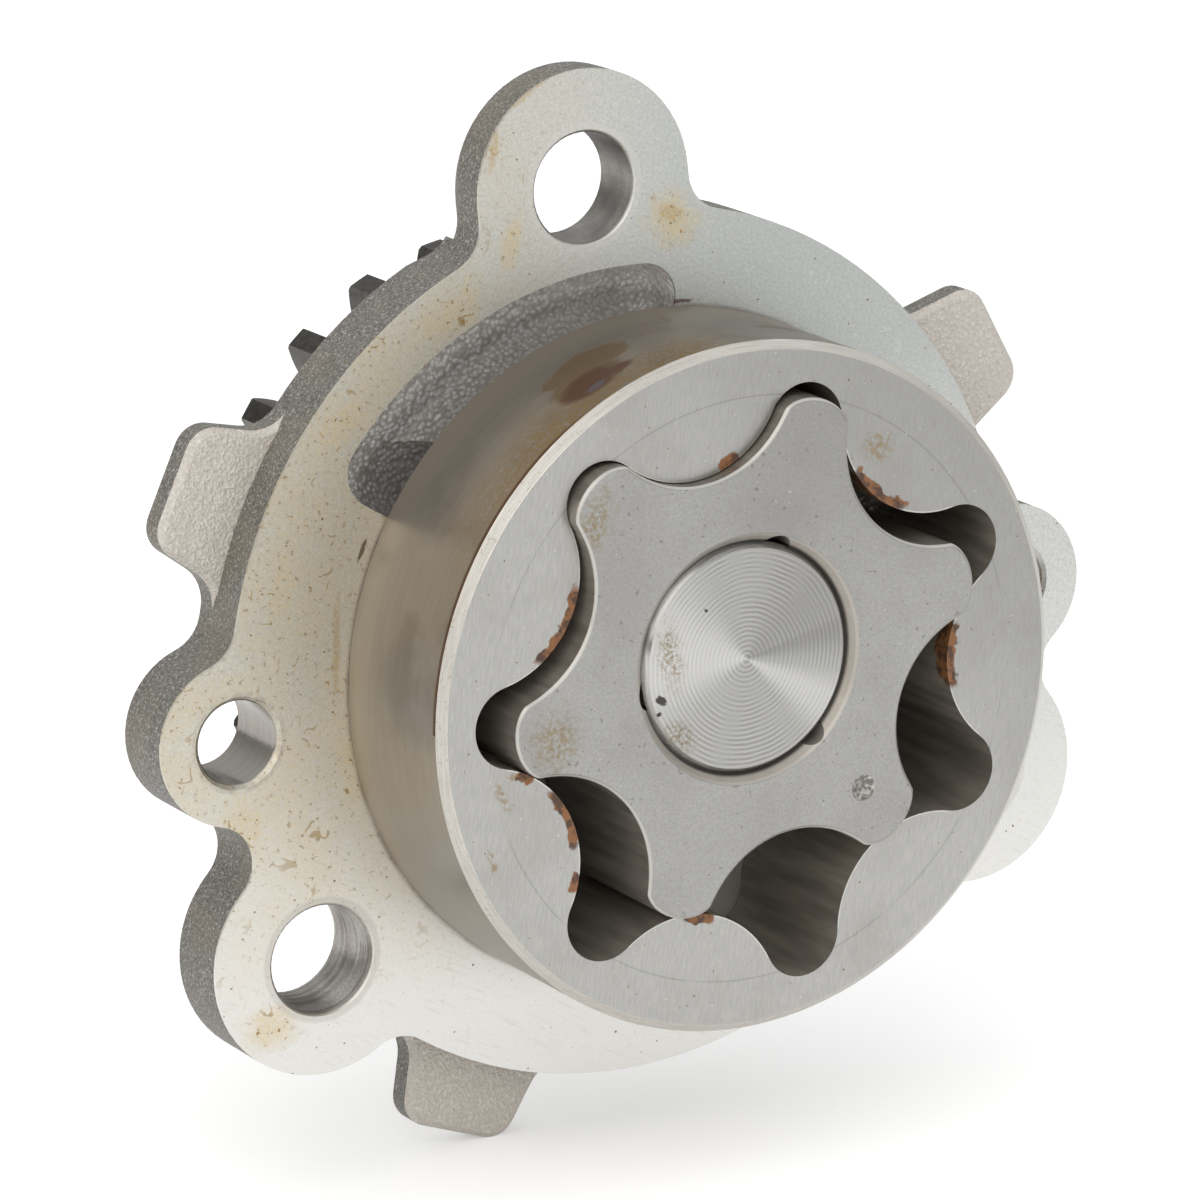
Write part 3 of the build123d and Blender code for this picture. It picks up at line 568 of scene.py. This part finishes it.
# %% The ring's material
def ground_steel_ring():
    """The whole ring: end face, side, a bevel between them painted lighter as a highlight, and darker
    flanks inside.
    """
    material, tree, where = blank_finish("sintered_steel_ground")
    x, y, z = axis_parts(tree, where)
    radius = distance_from(tree, where, 0.0, 0.0)
    face = cut_mm(tree, y, RING_FACE + 0.1, RING_FACE + 0.02)
    bevel = both(tree, cut_mm(tree, radius, BEVEL_R - 0.05, BEVEL_R + 0.02),
                 cut_mm(tree, y, BEVEL_REAR + 0.04, BEVEL_REAR - 0.04))
    outside = cut_mm(tree, radius, ROTOR_R - 0.1, ROTOR_R - 0.05)
    depth = inside_tooth(tree, where)
    front, scratches = ring_face(tree, where, radius, depth)
    side, rings, drops = ring_side(tree, where, y, z, radius)
    # Painted highlight: the bevel is painted lighter than the face.
    bevel_grain = cut(tree, turned_grain(tree, where, radius, y, 0.12), 0.3, 0.7)
    edge = tint(tree, bevel_grain, linear("#C2BEB6"), linear("#D6D2CB"))
    edge_dirt = cut(tree, noise(tree, where, 0.4, 4.0, 0.7), 0.58, 0.66)
    edge_dirt = both(tree, edge_dirt, cut_mm(tree, x, 2.0, -20.0))
    edge = coat(tree, edge, edge_dirt, 0.45, "#8F7850")
    colour = tint(tree, outside, pressed_flank(tree, where, "#A8A196"), side)
    colour = tint(tree, face, colour, front)
    colour = tint(tree, bevel, colour, edge)
    creep = both(tree, both(tree, noise(tree, where, 1.1, 3.0, 0.5), 0.5, "SUBTRACT"), 1.6 * MM)
    creep = cut_mm(tree, both(tree, depth, creep, "ADD"), 0.95, 0.75)
    rust = both(tree, ovals(tree, where, RING_LAYER, TIP_RUST, 0.7, 1.6, soft=0.2), creep)
    rust_tone = cut(tree, noise(tree, where, 0.9, 3.0), 0.42, 0.58)
    rust_tone = tint(tree, rust_tone, linear("#54341F"), linear("#976233"))
    colour = tint(tree, both(tree, rust, 0.92), colour, rust_tone)
    rough = between(tree, face, between(tree, outside, 0.42, 0.36), 0.36)
    rough = between(tree, rust, rough, 0.6)
    normal = raised(tree, both(tree, scratches, face), 0.006)
    normal = raised(tree, both(tree, rings, outside), 0.003, normal)
    normal = raised(tree, both(tree, drops, outside), 0.05, normal)
    metal = between(tree, face, between(tree, outside, 0.35, 0.78), 0.95)
    metal = between(tree, both(tree, drops, outside), metal, 0.12)
    metal = between(tree, rust, metal, 0.2)
    wire(tree, Base_Color=colour, Roughness=rough, Metallic=metal, Normal=normal)
    return material


dress("outer_rotor", ground_steel_ring())

# %% [markdown]
# The inner rotor is pressed from steel powder and sintered. Powder metal never polishes to a
# mirror: its face has a satin, finely grained look with a few pinholes, and its flanks are darker.
# The small bevel along its lobes and the chamfer of its bore are painted lighter, as painted
# highlights, and its upper right is painted duller, as painted reflection. Two lobes keep a tan
# bloom of dried oil, and the narrow gap round the shaft is painted nearly black, as painted shade.

# %% Inner rotor: satin sintered steel
INNER_LAYER = (INNER_FACE, 3.0)
LOBE_BLOOM = ((-17.6, 18.4, 2.4, 4.8, 20), (-21.8, -1.6, 3.8, 4.2, 0))
TIMING_DOT = (11.4, -10.65)
TIMING_DOT_R = 1.3


def satin_powder_steel():
    """The whole inner rotor: satin face with painted reflection, bevels with painted highlights, streaked
    flanks, painted shade in the gap round the shaft and a timing dot.
    """
    material, tree, where = blank_finish("powder_steel_satin")
    x, y, z = axis_parts(tree, where)
    face = cut_mm(tree, y, INNER_FACE + 0.1, INNER_FACE + 0.02)
    off_face = both(tree, 1.0, face, "SUBTRACT")
    edge = both(tree, cut_mm(tree, y, INNER_FACE + 0.3, INNER_FACE + 0.24), off_face)
    bore = distance_from(tree, where, SHAFT_AT[0] / MM, SHAFT_AT[2] / MM)
    bevel = both(tree, cut_mm(tree, bore, SHAFT_R + 2.0, SHAFT_R + 1.9), off_face)
    grain = noise(tree, where, 0.28, 3.0, 0.7)
    front = tint(tree, cut(tree, grain, 0.3, 0.7), linear("#A3A29F"), linear("#B0AFAC"))
    front = coat(tree, front, cut(tree, noise(tree, where, 10.0, 3.0), 0.4, 0.7), 0.3, "#8F8D89")
    # Painted reflection: the face is painted duller toward the upper right.
    dull = both(tree, cut_mm(tree, z, 6.0, 22.0), cut_mm(tree, x, -12.0, 4.0))
    front = coat(tree, front, dull, 0.4, "#8B8A87")
    bloom = ovals(tree, where, INNER_LAYER, LOBE_BLOOM, 1.2, 1.0, soft=0.9)
    bloom = both(tree, bloom, cut(tree, noise(tree, where, 0.4, 3.0, 0.7), 0.38, 0.6))
    front = coat(tree, front, bloom, 0.75, "#8F7C56")
    pinholes = cut(tree, noise(tree, where, 0.42, 0.0), 0.8, 0.83)
    front = coat(tree, front, pinholes, 0.5, "#6E6A64")
    glints = cut(tree, noise(tree, where, 0.36, 1.0), 0.28, 0.24)
    front = coat(tree, front, glints, 0.45, "#D9D8D5")
    colour = tint(tree, face, pressed_flank(tree, where, "#A8A197"), front)
    # Painted highlights: the lobe bevel and the bore's chamfer are painted lighter.
    colour = tint(tree, edge, colour, linear("#C9C7C2"))
    colour = coat(tree, colour, bevel, 0.7, "#B3ACA3")
    # Painted shade: the narrow gap round the shaft is painted nearly black.
    gap = cut_mm(tree, bore, SHAFT_R + 0.4, SHAFT_R + 0.1)
    colour = coat(tree, colour, gap, 0.92, "#231C17")
    dot = distance_from(tree, where, *TIMING_DOT)
    dot = both(tree, cut_mm(tree, dot, TIMING_DOT_R + 0.04, TIMING_DOT_R - 0.06),
               cut_mm(tree, y, INNER_FACE + 0.01, INNER_FACE + 0.06))
    dot_grain = cut(tree, noise(tree, where, 0.5, 2.0), 0.4, 0.6)
    colour = tint(tree, dot, colour, tint(tree, dot_grain, linear("#7B7873"), linear("#C4C2BD")))
    wire(tree, Base_Color=colour, Roughness=between(tree, face, 0.36, 0.4),
         Metallic=between(tree, face, 0.4, 0.95), Normal=raised(tree, grain, 0.012))
    return material


dress("inner_rotor", satin_powder_steel())

# %% [markdown]
# The shaft's end was faced on a lathe. The tool left fine grooves less than half a millimetre
# apart, drawn here as rings, and such grooves catch the light as bright and dull wedges. The
# wedges come partly from the shader's anisotropy, whose quarter turn lays the rough direction
# across the grooves, and partly from painted highlight and painted shade laid by angle round the
# shaft, which turn with it.

# %% Shaft: turned steel
GROOVE_PITCH = 0.46
SHAFT_LAYER = (-18.6, 3.0)
SHAFT_BLOOM = ((-9.4, 4.6, 1.9, 4.6, -8), (-8.4, -3.2, 2.6, 2.0, 40))
SHAFT_CHIPS = ((-10.4, 0.7, 0.7, 0.5, 30), (-10.6, -0.6, 0.3, 0.25, 0), (-5.6, 8.6, 0.25, 0.15, 40))


def turned_steel():
    """Lathe-turned steel: rings, wedges of painted highlight and shade by angle, and a bloom of dried oil
    on the end.
    """
    material, tree, where = blank_finish("steel_turned_rings")
    radius = distance_from(tree, where, SHAFT_AT[0] / MM, SHAFT_AT[2] / MM)
    wander = both(tree, both(tree, noise(tree, where, 4.0, 2.0), 0.5, "SUBTRACT"), 0.5 * MM)
    wave = both(tree, both(tree, radius, wander, "ADD"), 2 * math.pi * per(GROOVE_PITCH))
    rings = add(tree, "Math", {"operation": "SINE"}, {0: wave})
    rings = both(tree, rings, cut(tree, noise(tree, where, 2.5, 2.0), 0.2, 0.7))
    colour = tint(tree, cut(tree, rings, -1.0, 1.0), linear("#9B9A97"), linear("#B6B5B1"))
    centred = add(tree, "VectorMath", {"operation": "SUBTRACT"}, {0: where, 1: SHAFT_AT})
    x, _, z = axis_parts(tree, centred)
    turn = add(tree, "Math", {"operation": "ARCTAN2"}, {0: z, 1: x})
    # Painted shade: dull wedges by angle round the shaft.
    dull = both(tree, cut(tree, turn, 1.7, 0.5), cut(tree, turn, -0.35, 0.15))
    colour = coat(tree, colour, dull, 0.42, "#6E6D6B")
    wedge = both(tree, cut(tree, turn, 0.3, 0.22), cut(tree, turn, -0.1, 0.18))
    colour = coat(tree, colour, wedge, 0.2, "#6E6D6B")
    # Painted highlights: bright wedges by angle round the shaft.
    left = both(tree, cut(tree, turn, 1.9, 2.7), cut(tree, turn, -2.4, -3.1), "MAXIMUM")
    right = both(tree, cut(tree, turn, -0.95, -0.6), cut(tree, turn, -0.2, -0.5))
    bright = both(tree, left, right, "MAXIMUM")
    colour = coat(tree, colour, bright, 0.4, "#DCDBD8")
    bloom = ovals(tree, where, SHAFT_LAYER, SHAFT_BLOOM, 1.2, 1.0, soft=0.9)
    bloom = both(tree, bloom, cut(tree, noise(tree, where, 0.35, 4.0, 0.75), 0.42, 0.6))
    colour = coat(tree, colour, bloom, 0.7, "#8A7550")
    chips = ovals(tree, where, SHAFT_LAYER, SHAFT_CHIPS, 1.8, 0.6)
    colour = tint(tree, chips, colour, linear("#4E4A47"))
    wire(tree, Base_Color=colour, Normal=raised(tree, rings, 0.008),
         Roughness=between(tree, bloom, 0.24, 0.45),
         Tangent=add(tree, "Tangent", {"direction_type": "RADIAL", "axis": "Y"}))
    shader = tree.nodes["Principled BSDF"]
    shader.inputs["Anisotropic"].default_value = 0.9
    shader.inputs["Anisotropic Rotation"].default_value = 0.25
    return material


lathe_steel = turned_steel()
dress("drive_shaft", lathe_steel)

# %% [markdown]
# Behind the nut the shaft's M16 thread stands out. The CAD shaft is plain there, so a ridge is
# wound round it: one small triangle swept round the axis as it moves back by the thread's pitch.

# %% Thread behind the nut
THREAD_PITCH = 1.0
THREAD_TURNS = 1.5
THREAD_STEPS = 96
THREAD_PROFILE = ((7.9, 42.2), (8.5, 42.55), (7.9, 42.9))


def thread_ridge():
    """Sweep the triangle round the shaft's axis and make the thread's object of it."""
    ridge = bmesh.new()
    corners = [ridge.verts.new((SHAFT_AT[0] + r * MM, y * MM, SHAFT_AT[2])) for r, y in THREAD_PROFILE]
    start = ridge.faces.new(corners)
    bmesh.ops.spin(ridge, geom=[start] + list(start.edges) + corners, cent=SHAFT_AT, axis=(0.0, 1.0, 0.0),
                   dvec=(0.0, THREAD_PITCH * MM * THREAD_TURNS / THREAD_STEPS, 0.0),
                   angle=2 * math.pi * THREAD_TURNS, steps=THREAD_STEPS, use_duplicate=False)
    bmesh.ops.recalc_face_normals(ridge, faces=ridge.faces)
    mesh = bpy.data.meshes.new("shaft_thread")
    ridge.to_mesh(mesh)
    ridge.free()
    mesh.materials.append(lathe_steel)
    thread = bpy.data.objects.new("shaft_thread", mesh)
    bpy.context.collection.objects.link(thread)
    return thread


thread = thread_ridge()
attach(thread, "rotating_group")
print("Thread faces:", len(thread.data.polygons))

# %% [markdown]
# The drive gear was hobbed and case-hardened, which leaves it near black. The washers, key and
# nut behind it are plain bright or dull-plated steel, and the bush is bearing bronze.

# %% Gear, bush, washers, key and nut
def plain_metal(name, dark, light, size_mm, rough, bump_mm):
    """Metal with a mottled colour and a fine grain."""
    material, tree, where = blank_finish(name)
    grain = noise(tree, where, size_mm, 4.0, 0.6)
    cloud = noise(tree, where, 12 * size_mm, 3.0)
    mottle = cut(tree, both(tree, grain, cloud, "ADD"), 0.8, 1.25)
    colour = tint(tree, mottle, linear(dark), linear(light))
    wire(tree, Base_Color=colour, Normal=raised(tree, grain, bump_mm),
         Roughness=between(tree, cut(tree, cloud, 0.3, 0.7), rough - 0.06, rough + 0.08))
    return material


dress("drive_gear", plain_metal("steel_case_hardened_dark", "#383531", "#504D48", 0.8, 0.36, 0.01))
dress("shaft_bush", plain_metal("bearing_bronze_bored", "#8E7238", "#B3934F", 0.4, 0.32, 0.008))
ground_washer = plain_metal("washer_steel_ground", "#8D8B87", "#ABA9A4", 0.4, 0.34, 0.006)
for node_name in ("thrust_washer", "gear_washer"):
    dress(node_name, ground_washer)
dress("gear_key", plain_metal("key_steel_bright", "#97958F", "#B5B3AD", 0.4, 0.32, 0.006))
dress("gear_nut", plain_metal("nut_steel_dull_plated", "#7A776F", "#9B9789", 0.6, 0.42, 0.01))

# %% [markdown]
# The floor is plain and pale. It glows a little, only for rays from the camera, from mirror-like
# metal and through glass, so it reads as white in the picture and in the metal. It still takes
# the pump's soft shadow, because the rest of its brightness comes from the room and the lamps.

# %% Floor and backdrop
FLOOR_SIZE = 6.0
FLOOR_GLOW = 0.4


def pale_floor():
    """Matt white that glows for camera, glossy and transmission rays."""
    material = bpy.data.materials.new("studio_floor_white")
    material.use_nodes = True
    tree = material.node_tree
    tree.nodes.remove(tree.nodes["Principled BSDF"])
    path = add(tree, "LightPath").node
    seen = both(tree, path.outputs["Is Camera Ray"], path.outputs["Is Glossy Ray"], "MAXIMUM")
    seen = both(tree, seen, path.outputs["Is Transmission Ray"], "MAXIMUM")
    matt = add(tree, "BsdfDiffuse", {}, {"Color": linear("#F2F2F2")})
    glow = add(tree, "Emission", {}, {"Strength": both(tree, seen, FLOOR_GLOW)})
    mixed = add(tree, "AddShader", {}, {0: matt, 1: glow})
    tree.links.new(mixed, tree.nodes["Material Output"].inputs["Surface"])
    return material


floor_mesh = bmesh.new()
bmesh.ops.create_grid(floor_mesh, x_segments=1, y_segments=1, size=FLOOR_SIZE / 2)
bmesh.ops.translate(floor_mesh, verts=floor_mesh.verts, vec=(0.0, 0.0, cad_box[0].z))
floor_data = bpy.data.meshes.new("floor")
floor_mesh.to_mesh(floor_data)
floor_mesh.free()
floor_data.materials.append(pale_floor())
floor = bpy.data.objects.new("floor", floor_data)
bpy.context.collection.objects.link(floor)
print("Floor height, mm:", round(cad_box[0].z / MM, 2))

# %% [markdown]
# Bare metal shows what surrounds it more than what shines on it. So the room matters: a pale
# room that is darker at eye level gives the faces their soft change from top to bottom. Only the
# camera sees the room as plain white; the metal mirrors the grey and white of its walls.

# %% Room light
world = bpy.data.worlds.new("studio_room")
bpy.context.scene.world = world
world.use_nodes = True
room = world.node_tree
room.nodes.clear()
direction = add(room, "TexCoord", output="Generated")
height = axis_parts(room, direction)[2]
shade = tint(room, cut(room, height, 0.0, 0.75), linear("#A3A29F"), linear("#ECEDEE"))
path = add(room, "LightPath").node
seen_room = tint(room, path.outputs["Is Camera Ray"], shade, linear("#FFFFFF"))
light = add(room, "Background", {}, {"Color": seen_room, "Strength": 1.0})
room_output = room.nodes.new("ShaderNodeOutputWorld")
room.links.new(light, room_output.inputs["Surface"])

# %% [markdown]
# Two broad softboxes add shape: one high on the left, as the main light and a trace warm, and a
# weaker, slightly cool one on the right.

# %% Softboxes
def softbox(name, place, size, watts, colour):
    """A rectangular area lamp aimed at the origin."""
    lamp = bpy.data.lights.new(name, "AREA")
    lamp.shape = "RECTANGLE"
    lamp.size, lamp.size_y = size
    lamp.energy = watts
    lamp.color = linear(colour)[:3]
    lamp_object = bpy.data.objects.new(name, lamp)
    lamp_object.location = place
    lamp_object.rotation_mode = "QUATERNION"
    lamp_object.rotation_quaternion = (-Vector(place)).to_track_quat("-Z", "Y")
    bpy.context.collection.objects.link(lamp_object)
    return lamp_object


softbox("key_softbox", (-0.5, -0.4, 0.45), (0.8, 0.8), 2.0, "#FFFBF5")
softbox("fill_softbox", (0.65, -0.1, 0.45), (1.0, 1.0), 0.3, "#FAFCFF")

# %% [markdown]
# A long lens from well back keeps the pump's circles honest. The camera stands to the left of
# the pump and a little above it, where the picture was taken.

# %% Camera
CAMERA_AT = Vector((-0.310394, -0.527766, 0.164531))
CAMERA_RIGHT = Vector((0.86633, -0.49947, 0.0))
CAMERA_UP = Vector((0.12615, 0.21885, 0.96757))
CAMERA_BACK = Vector((-0.48327, -0.83823, 0.25261))

camera_data = bpy.data.cameras.new("camera")
camera_data.lens = 200.374
camera_data.sensor_width = 36.0
camera = bpy.data.objects.new("camera", camera_data)
turn = Matrix((CAMERA_RIGHT, CAMERA_UP, CAMERA_BACK)).transposed()
camera.matrix_world = Matrix.Translation(CAMERA_AT) @ turn.to_4x4()
bpy.context.collection.objects.link(camera)
bpy.context.scene.camera = camera
bpy.context.scene.view_settings.view_transform = "Standard"
print("Camera distance, mm:", round(CAMERA_AT.length / MM, 1))
